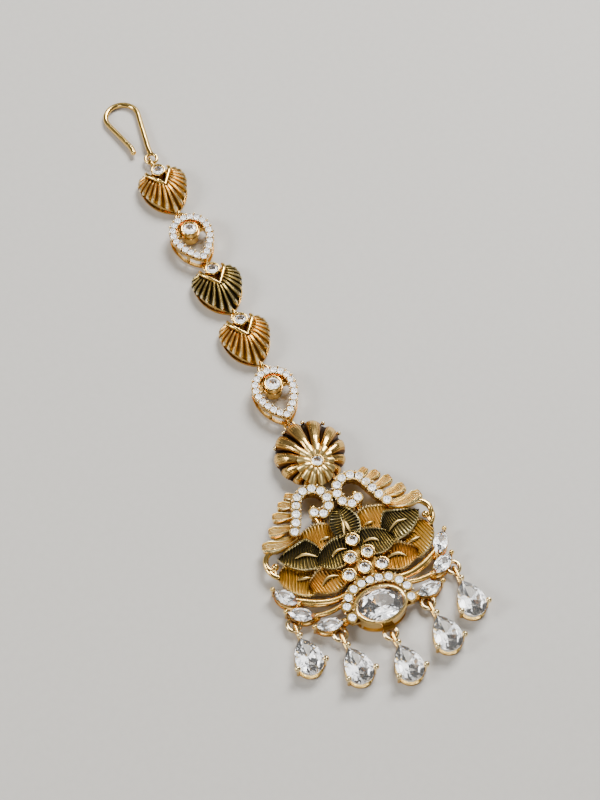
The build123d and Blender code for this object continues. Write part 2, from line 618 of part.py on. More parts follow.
# ---- drops ---------------------------------------------------------------------------------------
# A pear stone in an open basket: a rail under it, a prong at its tip and one at each side, and an
# upright loop through the pendant's ring. Each row: middle of the stone's round end, and turn.
PEAR = dict(
    shape="pear", half_width=2.1, half_length=3.85, crown=0.66, depth=1.62, girdle=2.05, full_cut=True
)
DROPS = [
    dict(x=-12.95, y=-3.75, turn=0.5),
    dict(x=-6.62, y=-7.75, turn=4.0),
    dict(x=0.42, y=-10.05, turn=3.0),
    dict(x=7.58, y=-7.75, turn=3.5),
    dict(x=13.15, y=-3.95, turn=1.5),
]
PRONG_ANGLE = -16
PRONG_REACH = 2.32
TIP_PRONG = 4.15

pear_cutter = cut_stone(PEAR, swell=STONE_GAP)
drop_seats = [level(row["x"], row["y"], 0, row["turn"]) for row in DROPS]
for number, (seat, (ring_x, ring_y)) in enumerate(zip(drop_seats, DROP_RINGS), start=1):
    cutter = pear_cutter.moved(seat.offset(PEAR["girdle"]).location)
    tip = raised(seat, 0, TIP_PRONG, RING_LEVEL)
    ring = level(ring_x, ring_y, RING_LEVEL)
    lean = math.degrees(math.atan2(tip.origin.X - ring.origin.X, ring.origin.Y - tip.origin.Y))
    reach = (ring.origin - tip.origin).length + LOOP_PAST_RING
    with BuildPart() as drop_setting:
        with BuildSketch(seat):
            with BuildLine():
                flank = rim_point("pear", PEAR["half_width"], PEAR["half_length"], 30)
                ThreePointArc((PEAR["half_width"], 0), (flank.X, flank.Y), (0, PEAR["half_length"]))
                ThreePointArc((-PEAR["half_width"], 0), (-flank.X, flank.Y), (0, PEAR["half_length"]))
                ThreePointArc((-PEAR["half_width"], 0), (0, -PEAR["half_width"]), (PEAR["half_width"], 0))
            make_face()
            offset(amount=-RAIL, kind=Kind.INTERSECTION, mode=Mode.SUBTRACT)
        extrude(amount=RAIL)
        x, y = math.cos(math.radians(PRONG_ANGLE)), math.sin(math.radians(PRONG_ANGLE))
        posts([raised(seat, side * 2.2 * x, 2.2 * y, 0) for side in (-1, 1)], 0, 2.2, 0.26)
        with Locations(*[raised(seat, side * PRONG_REACH * x, PRONG_REACH * y, 2.35) for side in (-1, 1)]):
            Sphere(0.33)
        posts([raised(seat, 0, TIP_PRONG - 0.1, 0)], 0, 2.4, 0.3)
        with Locations(raised(seat, 0, TIP_PRONG, 2.5)):
            Sphere(0.36)
        long_loop(Plane(tip.origin, x_dir=Vector(1, 0, 0).rotate(Axis.Z, lean)), reach)
        add(cutter, mode=Mode.SUBTRACT)
    save(drop_setting.part, f"drop_setting_{number}")
save_stones(PEAR, "pear_stone", drop_seats)
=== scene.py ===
import math

import bpy
import numpy as np
from mathutils import Matrix, Vector


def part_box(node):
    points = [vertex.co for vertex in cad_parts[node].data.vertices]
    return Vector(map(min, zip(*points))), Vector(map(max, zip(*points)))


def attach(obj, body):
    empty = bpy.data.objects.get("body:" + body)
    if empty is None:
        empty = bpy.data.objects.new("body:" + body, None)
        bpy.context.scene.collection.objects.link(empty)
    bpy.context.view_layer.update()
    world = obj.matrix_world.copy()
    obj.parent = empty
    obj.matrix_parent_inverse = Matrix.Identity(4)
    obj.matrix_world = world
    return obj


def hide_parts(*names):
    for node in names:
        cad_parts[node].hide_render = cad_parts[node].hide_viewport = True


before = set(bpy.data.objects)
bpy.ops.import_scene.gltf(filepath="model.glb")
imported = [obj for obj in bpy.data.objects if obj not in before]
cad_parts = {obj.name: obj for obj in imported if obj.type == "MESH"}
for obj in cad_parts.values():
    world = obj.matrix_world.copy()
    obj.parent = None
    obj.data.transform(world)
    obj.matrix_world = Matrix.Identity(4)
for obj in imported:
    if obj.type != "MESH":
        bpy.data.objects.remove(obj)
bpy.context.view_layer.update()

# ---- table and camera ----------------------------------------------------------------------------
# The jewel lies face up on a plain pale table. A long lens looks down at it from beyond its drops,
# a little to its left, so that the hook is at the far end.
MM = 0.001


def centre(node):
    """The middle of a CAD node's box."""
    low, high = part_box(node)
    return (low + high) / 2


def look(place, at):
    """The turn that points a lamp or a camera standing at place towards at."""
    return (place - at).to_track_quat("Z", "Y").to_euler()


CAMERA_TURN, CAMERA_RISE, CAMERA_REACH = math.radians(-21.36), math.radians(60), 300 * MM
LENS, FILM = 84.375, 36
AIM_PAST_OVAL = Vector((2.205, 38.631, 0)) * MM

aim = centre("oval_stone") + AIM_PAST_OVAL
aim.z = 0
towards = Vector((math.cos(CAMERA_RISE) * math.sin(CAMERA_TURN),
                  -math.cos(CAMERA_RISE) * math.cos(CAMERA_TURN), math.sin(CAMERA_RISE)))
stand = aim + towards * CAMERA_REACH
bpy.ops.object.camera_add(location=stand, rotation=look(stand, aim))
camera = bpy.context.object
camera.data.sensor_fit, camera.data.sensor_height, camera.data.lens = "VERTICAL", FILM, LENS
camera.data.clip_start = 10 * MM
bpy.context.scene.camera = camera


def linear(code):
    """A colour written as sRGB hex, as the renderer's linear numbers."""
    parts = [int(code[i:i + 2], 16) / 255 for i in (0, 2, 4)]
    return tuple(p / 12.92 if p < 0.04045 else ((p + 0.055) / 1.055) ** 2.4 for p in parts) + (1,)


def add(material, kind, values=None, **settings):
    """Adds a node. Values go to its sockets: a constant, or the output of another node."""
    made = material.node_tree.nodes.new("ShaderNode" + kind)
    for name, value in settings.items():
        setattr(made, name, value)
    for name, value in (values or {}).items():
        if isinstance(value, bpy.types.NodeSocket):
            material.node_tree.links.new(value, made.inputs[name])
        else:
            made.inputs[name].default_value = value
    return made


def started(name):
    """A new material with an empty node tree."""
    material = bpy.data.materials.new(name)
    material.use_nodes = True
    material.node_tree.nodes.clear()
    return material


def ramp(material, factor, stops):
    """A colour for each level of a factor: pairs of position and sRGB hex."""
    made = add(material, "ValToRGB", {"Fac": factor})
    marks = made.color_ramp.elements
    marks = [marks[0]] + [marks.new(place) for place, _ in stops[1:-1]] + [marks[-1]]
    for (position, code), mark in zip(stops, marks):
        mark.position, mark.color = position, linear(code)
    return made.outputs["Color"]


def painted_board():
    """Matt warm-white painted board. A fine roller grain breaks its shine."""
    paint = started("painted_board")
    place = add(paint, "TexCoord").outputs["Object"]
    grain = add(paint, "TexNoise", {"Vector": place, "Scale": 1 / (1.1 * MM), "Detail": 3.0}).outputs["Fac"]
    bump = add(paint, "Bump", {"Height": grain, "Strength": 0.05, "Distance": 0.1 * MM})
    board = add(paint, "BsdfPrincipled", {
        "Base Color": ramp(paint, grain, [(0, "C2BEB7"), (1, "CAC6BF")]), "Roughness": 0.6,
        "Normal": bump.outputs["Normal"]})
    add(paint, "OutputMaterial", {"Surface": board.outputs[0]})
    return paint


TABLE_SIDE = 4
bpy.ops.mesh.primitive_plane_add(size=TABLE_SIDE, location=(0, 0, 0))
table = bpy.context.object
table.name = "table"
table.data.materials.append(painted_board())

# ---- studio light --------------------------------------------------------------------------------
# A broad soft box high on the right beyond the jewel, a strip on the left, a weak front fill and a
# small hard lamp for sparkle, in a dim room. The stones see a brighter room than the metal does.
LAMPS = [
    dict(name="soft_box", at=(0.42, 0.40, 0.62), size=0.36, watts=12.0),
    dict(name="strip_left", at=(-0.55, 0.10, 0.40), size=0.22, watts=3.2),
    dict(name="front_fill", at=(-0.10, -0.70, 0.55), size=0.30, watts=1.6),
    dict(name="spark", at=(0.30, 0.75, 0.80), size=0.03, watts=1.6),
]
for lamp in LAMPS:
    place = aim + Vector(lamp["at"])
    bpy.ops.object.light_add(type="AREA", location=place, rotation=look(place, aim))
    bpy.context.object.name = lamp["name"]
    bpy.context.object.data.size = lamp["size"]
    bpy.context.object.data.energy = lamp["watts"]
room = bpy.data.worlds.new("room")
bpy.context.scene.world = room
room.use_nodes = True
room.node_tree.nodes.clear()
ways = add(room, "TexCoord").outputs["Generated"]
panels = add(room, "TexVoronoi", {"Vector": ways, "Scale": 14.0}).outputs["Color"]
grey = add(room, "RGBToBW", {"Color": panels}).outputs[0]
walls = add(room, "Background", {"Color": linear("B9B6B0"), "Strength": 0.26})
windows = add(room, "Background", {"Color": ramp(room, grey, [(0.3, "B4B6BA"), (0.42, "FFFFFF")]),
                                   "Strength": 3.9})
through = add(room, "LightPath").outputs["Is Transmission Ray"]
seen = add(room, "MixShader", {0: through, 1: walls.outputs[0], 2: windows.outputs[0]})
add(room, "OutputWorld", {"Surface": seen.outputs[0]})

# ---- hook ----------------------------------------------------------------------------------------
# Round brass wire bent to an open loop that pushes into the hair, with a ring soldered to its foot.
# Drawn, polished and gold plated.
def gold_plate(name, tones, roughness):
    """Polished brass under 22 carat plate. Its colour carries painted shade: ambient occlusion picks the
    tone, so open faces get the pale tones, and corners and spots behind claws are painted darker and
    more orange, standing in for the shade and gold-on-gold reflections there. Casting ripples a few
    tenths of a millimetre across make the highlights uneven."""
    metal = started(name)
    place = add(metal, "TexCoord").outputs["Object"]
    ripple = add(metal, "TexNoise", {"Vector": place, "Scale": 1 / (0.5 * MM), "Detail": 2.0}).outputs["Fac"]
    bump = add(metal, "Bump", {"Height": ripple, "Strength": 0.16, "Distance": 0.03 * MM})
    # painted shade: ambient occlusion turns the colour darker and more orange in corners and nooks
    painted_nook_shade = add(metal, "AmbientOcclusion", {"Distance": 0.9 * MM}, samples=6).outputs["AO"]
    shine = add(metal, "MapRange", {"Value": ripple, "To Min": roughness * 0.8, "To Max": roughness * 1.25})
    surface = add(metal, "BsdfPrincipled", {
        "Base Color": ramp(metal, painted_nook_shade, tones), "Metallic": 1.0,
        "Roughness": shine.outputs[0], "Normal": bump.outputs["Normal"]})
    add(metal, "OutputMaterial", {"Surface": surface.outputs[0]})
    return metal


def only(piece):
    """Selects one piece and nothing else."""
    bpy.ops.object.select_all(action="DESELECT")
    piece.select_set(True)
    bpy.context.view_layer.objects.active = piece


def keep(piece, name, finish, smooth_below=35):
    """Names a finished piece, gives it its surface and fixes it to the jewel. Edges that turn by
    less than smooth_below degrees are shaded round."""
    piece.name = piece.data.name = name
    piece.data.materials.clear()
    piece.data.materials.append(finish)
    only(piece)
    if smooth_below:
        bpy.ops.object.shade_smooth_by_angle(angle=math.radians(smooth_below))
    else:
        bpy.ops.object.shade_flat()
    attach(piece, "root")
    return piece


def weld(piece, gap=0.0002):
    """Joins points that lie together and turns every face outwards."""
    only(piece)
    bpy.ops.object.mode_set(mode="EDIT")
    bpy.ops.mesh.select_all(action="SELECT")
    bpy.ops.mesh.remove_doubles(threshold=gap * MM)
    bpy.ops.mesh.normals_make_consistent(inside=False)
    bpy.ops.object.mode_set(mode="OBJECT")


def polished_copy(node, finish):
    """The CAD node's own shape, its loose triangles joined so that round wire shades round."""
    copy = bpy.data.objects.new(node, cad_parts[node].data.copy())
    bpy.context.scene.collection.objects.link(copy)
    only(copy)
    bpy.ops.mesh.customdata_custom_splitnormals_clear()
    weld(copy)
    keep(copy, "cast_" + node, finish)
    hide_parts(node)


# In each gold plate the lowest tone is the painted shade in nooks, and the highest is for open faces.
bright_gold = gold_plate("bright_gold_plate", [(0.25, "B8843A"), (0.60, "DEAC54"), (0.95, "F6CE78")], 0.18)
bead_gold = gold_plate("bead_gold_plate", [(0.25, "D8A85A"), (0.60, "EDC888"), (0.95, "FAE0A8")], 0.16)
polished_copy("hook", bright_gold)

# ---- shell links ---------------------------------------------------------------------------------
# Each is a domed fan, cast with pleats that spread from a V collar; a cup in the mouth of the V
# holds a small stone. The pleats are pale on their crests and dark in their folds: partly polish and
# patina, partly a painted highlight and painted shade.
def antique_gold(name, tones, roughness, aged=None):
    """Antiqued gold plate: darkened, then polished bright again wherever a wheel could reach. Its colour
    follows the mesh's crest attribute, which says how high a spot stands, from 0 in a fold to 1: the
    dark tones in the folds are partly patina and partly painted shade, and the palest tones on the
    crests are partly polish and partly a painted highlight. Shut-in places, found by ambient occlusion,
    are painted darker still as painted shade. Where its age attribute nears 1, the aged tones take over."""
    metal = started(name)
    place = add(metal, "TexCoord").outputs["Object"]
    ripple = add(metal, "TexNoise", {"Vector": place, "Scale": 1 / (0.35 * MM), "Detail": 3.0}).outputs["Fac"]
    height = add(metal, "Attribute", attribute_name="crest").outputs["Fac"]
    wear_and_painted_shade = add(metal, "MapRange", {"Value": ripple, "To Min": -0.16, "To Max": 0.16}).outputs[0]
    # painted shade: ambient occlusion lowers the colour level of shut-in places
    painted_nook_shade = add(metal, "AmbientOcclusion", {"Distance": 0.6 * MM}, samples=6).outputs["AO"]
    painted_shut_in_shade = add(metal, "MapRange", {"Value": painted_nook_shade, "From Min": 0.3, "From Max": 0.8,
                                      "To Min": -0.35, "To Max": 0.0}).outputs[0]
    wear_and_painted_shade = add(metal, "Math", {0: wear_and_painted_shade, 1: painted_shut_in_shade}, operation="ADD").outputs[0]
    level = add(metal, "Math", {0: height, 1: wear_and_painted_shade}, operation="ADD").outputs[0]
    bump = add(metal, "Bump", {"Height": ripple, "Strength": 0.3, "Distance": 0.02 * MM})
    shine = add(metal, "MapRange", {"Value": level, "To Min": roughness + 0.2, "To Max": roughness})
    # the ramp gives the folds painted shade over the patina, and the crests a painted highlight over the
    # polish
    colour = ramp(metal, level, tones)
    if aged:
        age = add(metal, "Attribute", attribute_name="age").outputs["Fac"]
        patches = add(metal, "MapRange", {"Value": ripple, "To Min": -0.12, "To Max": 0.12}).outputs[0]
        share = add(metal, "Math", {0: age, 1: patches}, operation="ADD", use_clamp=True).outputs[0]
        aged_colour = ramp(metal, level, aged)
        colour = add(metal, "MixRGB", {"Fac": share, "Color1": colour, "Color2": aged_colour}).outputs[0]
    surface = add(metal, "BsdfPrincipled", {
        "Base Color": colour, "Metallic": 1.0,
        "Roughness": shine.outputs[0], "Normal": bump.outputs["Normal"]})
    add(metal, "OutputMaterial", {"Surface": surface.outputs[0]})
    return metal


def flow(points, t):
    """Points on a smooth line through the given ones, for t from 0 at the first to 1 at the last."""
    p = np.array(points, float)
    p = np.vstack([2 * p[0] - p[1], p, 2 * p[-1] - p[-2]])
    s = np.clip(np.asarray(t, float) * (len(p) - 3), 0, len(p) - 3 - 1e-9)
    i = s.astype(int)
    f = (s - i)[..., None]
    a, b, c, d = (p[i + k] for k in range(4))
    return 0.5 * (2 * b + (c - a) * f + (2 * a - 5 * b + 4 * c - d) * f ** 2
                  + (3 * b - a - 3 * c + d) * f ** 3)


def grid(columns, rows):
    """A flat grid, and how far across and up it each point is, from 0 to 1."""
    bpy.ops.object.select_all(action="DESELECT")
    bpy.ops.mesh.primitive_grid_add(x_subdivisions=columns, y_subdivisions=rows, size=2)
    piece = bpy.context.object
    spots = np.array([v.co for v in piece.data.vertices])
    return piece, (spots[:, 0] + 1) / 2, (spots[:, 1] + 1) / 2


def reshape(piece, places, **marks):
    """Moves every point to its new place, in millimetres about the piece's seat, and marks how
    high each stands out of the folds round it, as crest, or how dull it has grown, as age."""
    piece.data.vertices.foreach_set("co", np.ascontiguousarray(places, float).ravel())
    for name, values in marks.items():
        mark = piece.data.attributes.new(name, "FLOAT", "POINT")
        mark.data.foreach_set("value", np.clip(values, 0, 1))
    piece.data.update()


def apply(piece, kind, **settings):
    """Adds a modifier with its settings and applies it."""
    only(piece)
    modifier = piece.modifiers.new(kind.lower(), kind)
    for name, value in settings.items():
        setattr(modifier, name, value)
    bpy.ops.object.modifier_apply(modifier=modifier.name)


def put(piece, at, turn=0.0):
    """Sets a piece modelled in millimetres about its own seat down in its place on the jewel."""
    piece.data.transform(Matrix.Translation(at) @ Matrix.Rotation(math.radians(turn), 4, "Z")
                         @ Matrix.Scale(MM, 4))
    piece.data.update()


def below(at):
    """The point of the table under a place, where a link's seat has its origin."""
    return Vector((at.x, at.y, 0))


def bar(points, radii):
    """A round bar along a smooth line guided by the given points, in millimetres, with a radius at
    each and flat ends."""
    line = bpy.data.curves.new("bar", "CURVE")
    line.dimensions, line.bevel_depth, line.bevel_resolution, line.resolution_u = "3D", 1.0, 5, 8
    line.use_fill_caps = True
    run = line.splines.new("NURBS")
    run.points.add(len(points) - 1)
    for knot, point, radius in zip(run.points, points, radii):
        knot.co, knot.radius = (*point, 1), radius
    run.order_u, run.use_endpoint_u = 4, True
    piece = bpy.data.objects.new("bar", line)
    bpy.context.scene.collection.objects.link(piece)
    only(piece)
    bpy.ops.object.convert(target="MESH")
    return bpy.context.object


def joined(pieces):
    """Several pieces made one."""
    bpy.ops.object.select_all(action="DESELECT")
    for piece in pieces:
        piece.select_set(True)
    bpy.context.view_layer.objects.active = pieces[0]
    bpy.ops.object.join()
    return bpy.context.object


def ring(radius, wire, height, turns=48):
    """A lying ring of round wire, in millimetres about the seat."""
    bpy.ops.object.select_all(action="DESELECT")
    bpy.ops.mesh.primitive_torus_add(major_radius=radius, minor_radius=wire, major_segments=turns,
                                     minor_segments=12, location=(0, 0, height))
    bpy.ops.object.transform_apply(location=True, rotation=False, scale=False)
    return bpy.context.object


# Pleat lines of the left half: where each leaves the collar and where it meets the edge of the fan.
PLEAT_ROOTS = [(-2.10, 0.62), (-1.98, -0.05), (-1.80, -0.50), (-1.48, -1.00), (-1.12, -1.52),
               (-0.76, -2.05), (-0.36, -2.62), (0.0, -3.12)]
PLEAT_ENDS = [(-2.30, 0.95), (-3.55, 0.12), (-4.00, -1.20), (-3.90, -2.60), (-3.45, -4.00),
              (-2.75, -5.40), (-1.55, -6.90), (0.0, -7.95)]
PLEATS = 18
ROPED_PLEATS, ROPE_TURNS = (7, 8, 11), 17
SHELL_DOME, SHELL_TOP, SHELL_CROWN_Y = 8.0, 2.5, -3.2
SHELL_CUP = dict(radius=1.08, wire=0.19, height=3.16)
SHELLS = [
    dict(node="shell_link_1", stone="shell_stone_1", turn=3.3, finish="orange"),
    dict(node="shell_link_2", stone="shell_stone_2", turn=2.9, finish="olive"),
    dict(node="shell_link_3", stone="shell_stone_3", turn=1.1, finish="orange"),
]
# Dark stops paint shade in the pleats' folds over the patina; the palest stops are a painted highlight on the
# crests.
shell_finishes = {
    "orange": antique_gold(
        "antique_gold_warm", [(0.0, "70460E"), (0.3, "A07026"), (0.58, "CEA24C"), (0.84, "FFE9B6")], 0.24),
    "olive": antique_gold(
        "antique_gold_olive", [(0.0, "1E180C"), (0.3, "42361A"), (0.6, "7C6836"), (0.9, "F6E6B4")], 0.24),
}


def fan():
    """The pleated fan: a sheet from the collar to the edge, pressed into ribs."""
    piece, across, out = grid(PLEATS * 12, 96)
    roots = PLEAT_ROOTS + [(-x, y) for x, y in PLEAT_ROOTS[-2::-1]]
    ends = PLEAT_ENDS + [(-x, y) for x, y in PLEAT_ENDS[-2::-1]]
    rib = (1 - np.abs(np.sin(np.pi * PLEATS * across))) ** 1.8
    reach = out * (0.96 + 0.04 * rib)
    flat = flow(roots, across) * (1 - reach[:, None]) + flow(ends, across) * reach[:, None]
    apart = flat[:, 0] ** 2 + (flat[:, 1] - SHELL_CROWN_Y) ** 2
    dome = SHELL_TOP - SHELL_DOME + np.sqrt(SHELL_DOME ** 2 - apart)
    rise, fall = np.clip(out / 0.3, 0, 1), np.clip((out - 0.85) / 0.15, 0, 1)
    swell = (0.10 + 0.56 * rise ** 0.7) * (1 - 0.6 * fall ** 2)
    lip = np.clip((out - 0.93) / 0.07, 0, 1) ** 2
    rope = np.where(np.isin(np.round(across * PLEATS), ROPED_PLEATS), 1, 0) * rib
    notch = 0.07 * rope * np.sin(2 * np.pi * out * ROPE_TURNS)
    height = dome + 0.08 + swell * rib + notch - 0.12 * lip
    # The low half of each rope notch is marked lower, so it is painted darker: painted shade.
    reshape(piece, np.column_stack([flat, height]), crest=rib - 0.2 * rope * (notch < 0))
    apply(piece, "SOLIDIFY", thickness=0.28, offset=-1)
    return piece


# one arm of the collar from its free end to the point of the V: a place on its line, and its radius
COLLAR = [((2.0, 0.7, 2.3), 0.26), ((2.08, 0.3, 2.7), 0.31), ((1.95, -0.35, 2.95), 0.35),
          ((1.3, -1.35, 3.02), 0.36), ((0.6, -2.3, 3.02), 0.36), ((0, -3.12, 2.98), 0.36)]


def collar():
    """The V of thick half-round wire that the pleats hang from."""
    radii = [radius for _, radius in COLLAR]
    return joined([bar([(side * x, y, z) for (x, y, z), _ in COLLAR], radii) for side in (-1, 1)])


for shell in SHELLS:
    seat, turn = below(centre(shell["stone"])), shell["turn"]
    finish = shell_finishes[shell["finish"]]
    polished_copy(shell["node"], bright_gold)
    for make, word, metal in ((fan, "pleats", finish), (collar, "collar", bright_gold),
                              (lambda: ring(**SHELL_CUP), "cup_lip", bright_gold)):
        piece = make()
        weld(piece)
        put(piece, seat, turn)
        keep(piece, f"{shell['node']}_{word}", metal)


def cut_zirconia(name, clear):
    """Colourless cubic zirconia, cut and polished. Strong refraction makes its facets flash white
    or grey. The smallest stones are backed with bright plate, so less light goes through them."""
    stone = started(name)
    place = add(stone, "TexCoord").outputs["Object"]
    milk = add(stone, "TexNoise", {"Vector": place, "Scale": 1 / (0.8 * MM)}).outputs["Fac"]
    body = add(stone, "BsdfPrincipled", {
        "Base Color": ramp(stone, milk, [(0, "F4F3F1"), (1, "FFFFFF")]), "Roughness": 0.0, "IOR": 2.0,
        "Transmission Weight": clear})
    add(stone, "OutputMaterial", {"Surface": body.outputs[0]})
    return stone


clear_zirconia = cut_zirconia("cut_zirconia", 0.96)
for number in (1, 2, 3):
    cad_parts[f"shell_stone_{number}"].material_slots[0].material = clear_zirconia

# ---- teardrop links ------------------------------------------------------------------------------
# A flat band bent to a drop, paved with zirconia: each stone sits in a small round seat with two beads
# of metal raised beside it. A bezel cup with a larger stone stands in the upper half.
def cup(radius, foot, top, lip=0.10, sink=0.35, sides=16):
    """A small round seat, in millimetres about its own middle, sunk inside its lip."""
    bpy.ops.object.select_all(action="DESELECT")
    bpy.ops.mesh.primitive_cylinder_add(vertices=sides, radius=radius, depth=top - foot,
                                        location=(0, 0, (top + foot) / 2))
    bpy.ops.object.transform_apply(location=True, rotation=False, scale=False)
    piece = bpy.context.object
    bpy.ops.object.mode_set(mode="EDIT")
    bpy.ops.mesh.select_mode(type="FACE")
    bpy.ops.mesh.select_all(action="DESELECT")
    bpy.ops.object.mode_set(mode="OBJECT")
    for face in piece.data.polygons:
        face.select = face.normal.z > 0.9
    bpy.ops.object.mode_set(mode="EDIT")
    bpy.ops.mesh.inset(thickness=lip)
    bpy.ops.mesh.extrude_region_move(TRANSFORM_OT_translate={"value": (0, 0, -sink)})
    bpy.ops.transform.resize(value=(0.75, 0.75, 1))
    bpy.ops.object.mode_set(mode="OBJECT")
    return piece


# Rings of a small brilliant from its table to its culet: share of its radius, and height.
BRILLIANT = [(0.0, 0.33), (0.57, 0.33), (1.0, 0.04), (1.0, -0.04), (0.55, -0.42), (0.0, -0.75)]


def brilliant(radius=1.0):
    """A small round brilliant about the middle of its girdle: eight flat sides, table and culet."""
    bpy.ops.object.select_all(action="DESELECT")
    bpy.ops.mesh.primitive_uv_sphere_add(segments=8, ring_count=5, radius=1)
    piece = bpy.context.object
    spots = np.array([v.co for v in piece.data.vertices])
    row = np.round(np.arccos(np.clip(spots[:, 2], -1, 1)) / np.pi * 5).astype(int)
    side = np.arctan2(spots[:, 1], spots[:, 0]) + np.where(row == 1, np.pi / 8, 0)
    share, height = np.array(BRILLIANT)[row].T
    reshape(piece, radius * np.column_stack([share * np.cos(side), share * np.sin(side), height]))
    return piece


def ball(radius, segments=10, rings=7):
    """A small bead about its own middle, in millimetres."""
    bpy.ops.object.select_all(action="DESELECT")
    bpy.ops.mesh.primitive_uv_sphere_add(segments=segments, ring_count=rings, radius=radius)
    return bpy.context.object


def scattered(small, places):
    """One piece made of copies of a small one: each has a place (x, y, z) and a size, and is turned a
    little differently from its neighbours."""
    copies = []
    for x, y, z, size in places:
        copy = bpy.data.objects.new("copy", small.data.copy())
        bpy.context.scene.collection.objects.link(copy)
        copy.data.transform(Matrix.Translation((x, y, z)) @ Matrix.Rotation(1.3 * x + 0.7 * y, 4, "Z")
                            @ Matrix.Scale(size, 4))
        copies.append(copy)
    bpy.data.objects.remove(small)
    return joined(copies)


def between(middles, apart):
    """Where the raised beads stand: two for each pair of neighbouring stones, one on either side."""
    spots = []
    for (x, y), (far_x, far_y) in zip(middles, middles[1:]):
        gap = math.hypot(far_x - x, far_y - y)
        aside = (-(far_y - y) / gap * apart, (far_x - x) / gap * apart)
        spots += [((x + far_x) / 2 + side * aside[0], (y + far_y) / 2 + side * aside[1]) for side in (-1, 1)]
    return spots


def rhodium():
    """Rhodium flashed over the gold under each small stone: a bright, slightly bluish mirror that keeps
    the stone white. Faint brush marks cross it."""
    metal = started("rhodium_flash")
    place = add(metal, "TexCoord").outputs["Object"]
    marks = add(metal, "TexNoise", {"Vector": place, "Scale": 1 / (0.2 * MM)}).outputs["Fac"]
    shine = add(metal, "MapRange", {"Value": marks, "To Min": 0.1, "To Max": 0.3}).outputs[0]
    surface = add(metal, "BsdfPrincipled", {
        "Base Color": ramp(metal, marks, [(0.2, "E2E3E6"), (0.8, "F6F6F8")]), "Metallic": 1.0,
        "Roughness": shine})
    add(metal, "OutputMaterial", {"Surface": surface.outputs[0]})
    return metal


PLATE_TOP, PAVING_BEAD, CULET_GAP = 2.5, 0.2, 0.06
BRILLIANT_DEPTH = 0.76   # of a small stone below its girdle, as a share of its radius


def paving(name, middles, radius, seat, turn=0.0, beads=None, rim=0.08):
    """A row of small stones in their seats on a plate, with raised beads between them. The seats' rims
    meet in a scalloped band. The stones' points just clear the plate's top, where a thin bright disc
    lies under each."""
    girdle = PLATE_TOP + BRILLIANT_DEPTH * radius + CULET_GAP
    wall_top = girdle - 0.06
    beads = between(middles, radius * 1.12) if beads is None else beads
    on_plate = [(x, y, 0, 1) for x, y in middles]
    raised_beads = [(x, y, girdle + 0.02, 1) for x, y in beads]
    set_stones = [(x, y, girdle, 1) for x, y in middles]
    seat_cup = cup(radius + rim, PLATE_TOP - 0.6, wall_top, rim - 0.02, wall_top - PLATE_TOP)
    disc = cup(radius * 0.98, PLATE_TOP - 0.2, PLATE_TOP + 0.05, 0.02, 0.02)
    for word, small, places, finish, below_angle in (
            ("seats", seat_cup, on_plate, bright_gold, 35),
            ("discs", disc, on_plate, bright_rhodium, 35),
            ("beads", ball(PAVING_BEAD), raised_beads, bead_gold, 180),
            ("stones", brilliant(radius), set_stones, small_zirconia, 0)):
        piece = scattered(small, places)
        put(piece, seat, turn)
        keep(piece, f"{name}_{word}", finish, below_angle)


bright_rhodium = rhodium()
small_zirconia = cut_zirconia("small_zirconia", 0.92)
TEARDROPS = [dict(node="teardrop_link_1", stone="teardrop_stone_1", turn=3.5),
             dict(node="teardrop_link_2", stone="teardrop_stone_2", turn=1.0)]
TEARDROP_ROUND, TEARDROP_ROUND_Y = 2.97, -0.35
TEARDROP_STONES, TEARDROP_STONE = 20, 0.53
TEARDROP_CUP_RINGS = {"bezel": dict(radius=1.30, wire=0.20, height=3.08),
                      "bezel_step": dict(radius=1.50, wire=0.16, height=2.05)}
TEARDROP_FLANK = [(2.97, -0.35), (2.90, -1.6), (2.52, -2.9), (1.85, -4.05), (1.0, -5.15), (0.0, -5.95)]


def teardrop_line():
    """Twenty places round the band, one pitch apart, from the tip up one side and down the other."""
    arch = [(TEARDROP_ROUND * math.cos(a), TEARDROP_ROUND_Y + TEARDROP_ROUND * math.sin(a))
            for a in np.linspace(0, math.pi, 40)]
    flank = flow(TEARDROP_FLANK, np.linspace(0, 1, 60))
    line = np.vstack([flank[::-1], arch[1:-1], flank * (-1, 1)])
    steps = np.concatenate([[0], np.cumsum(np.hypot(*np.diff(line, axis=0).T))])
    at = np.linspace(0, steps[-1], TEARDROP_STONES + 1)[:-1]
    return [(float(np.interp(s, steps, line[:, 0])), float(np.interp(s, steps, line[:, 1]))) for s in at]


for teardrop in TEARDROPS:
    seat, turn = below(centre(teardrop["stone"])), teardrop["turn"]
    polished_copy(teardrop["node"], bright_gold)
    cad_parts[teardrop["stone"]].material_slots[0].material = clear_zirconia
    middles = teardrop_line()
    paving(teardrop["node"], middles, TEARDROP_STONE, seat, turn,
           between(middles + middles[:1], 0.6))
    for word, size in TEARDROP_CUP_RINGS.items():
        piece = ring(**size)
        put(piece, seat, turn)
        keep(piece, f"{teardrop['node']}_{word}", bright_gold)

# ---- flower link ---------------------------------------------------------------------------------
# A domed flower, cast hollow. Fifteen round-backed petals spread from a hub that leans towards the
# pendant; a ball of gold closes the fold between petals at the rim, and a paler rosette round the hub
# holds a stone in bead claws.
PETALS, FIRST_FOLD = 15, 85.0
# from the hub to the rim: how far past the hub a circle's middle lies, its radius, and its height
FLOWER_DOME = [(0.0, 0.05, 3.42), (0.15, 1.2, 3.55), (0.8, 2.3, 3.40), (1.7, 3.2, 2.98), (2.5, 4.1, 2.45),
               (2.95, 4.75, 1.85), (3.08, 5.1, 1.35), (3.10, 5.2, 0.95)]
hub = below(centre("flower_stone"))


